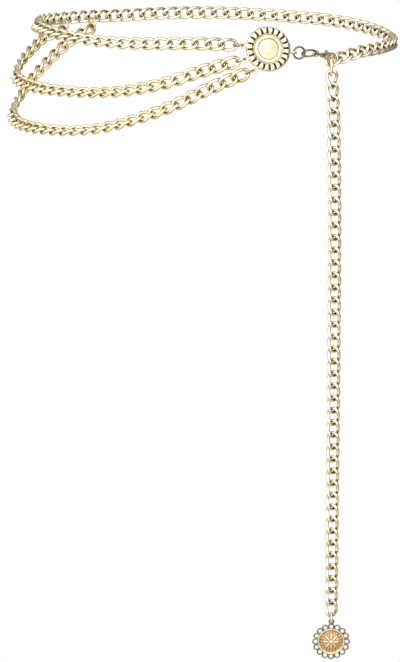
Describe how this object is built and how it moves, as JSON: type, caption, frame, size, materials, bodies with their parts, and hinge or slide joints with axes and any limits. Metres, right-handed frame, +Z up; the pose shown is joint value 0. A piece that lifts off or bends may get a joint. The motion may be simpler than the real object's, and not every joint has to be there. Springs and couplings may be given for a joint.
{
  "type": "waist chain",
  "caption": "Layered curb-link waist chain with a round medallion, two hip drapes, a lobster clasp and a long tail that ends in a flower pendant.",
  "frame": {"origin": "middle of the waist loop, on the body's axis, at the height of the rolled waist line", "axes": "+Z up, -Y towards the front of the body, +X towards the wearer's left as seen by the viewer's right"},
  "size_m": [0.2608, 0.1786, 0.4334],
  "materials": {
    "polished_gold": "polished gold plate on round wire, cream highlights and dark brown recesses",
    "warm_gold": "polished gold plate, a little yellower, on the two hip drapes",
    "pale_gold": "polished pale gold wire",
    "cast_gold": "cast and polished gold plate, darkened in the recesses",
    "antique_gold": "gold plate with a brown antique tone in the hollows"
  },
  "bodies": {
    "chain": {"waist_chain": "polished_gold", "tail_chain": "polished_gold", "drape_upper": "warm_gold", "drape_lower": "warm_gold", "medallion": "cast_gold", "strand_ring_waist": "polished_gold", "strand_ring_upper": "polished_gold", "strand_ring_lower": "polished_gold", "junction_ring_upper": "antique_gold", "junction_ring_lower": "antique_gold", "clasp_ring_a": "pale_gold", "clasp_ring_b": "pale_gold", "clasp_body": "polished_gold", "clasp_pin": "pale_gold"},
    "lever": {"clasp_lever": "polished_gold"},
    "pendant_link": {"pendant_ring": "polished_gold"},
    "drop": {"pendant": "antique_gold"}
  },
  "joints": [
    {"name": "clasp_open", "type": "hinge", "parent": "chain", "child": "lever", "pos_m": [0.06964, -0.07259, -0.00097], "axis": [-0.4067, 0.9135, 0], "range_deg": [0, 16], "stiffness_Nm_per_rad": 0.0004},
    {"name": "pendant_swing", "type": "hinge", "parent": "chain", "child": "pendant_link", "pos_m": [0.07697, -0.07064, -0.3848], "axis": [1, 0, 0], "range_deg": [-40, 40]},
    {"name": "pendant_tilt", "type": "hinge", "parent": "pendant_link", "child": "drop", "pos_m": [0.07697, -0.07064, -0.38877], "axis": [0, 1, 0], "range_deg": [-30, 30]}
  ]
}
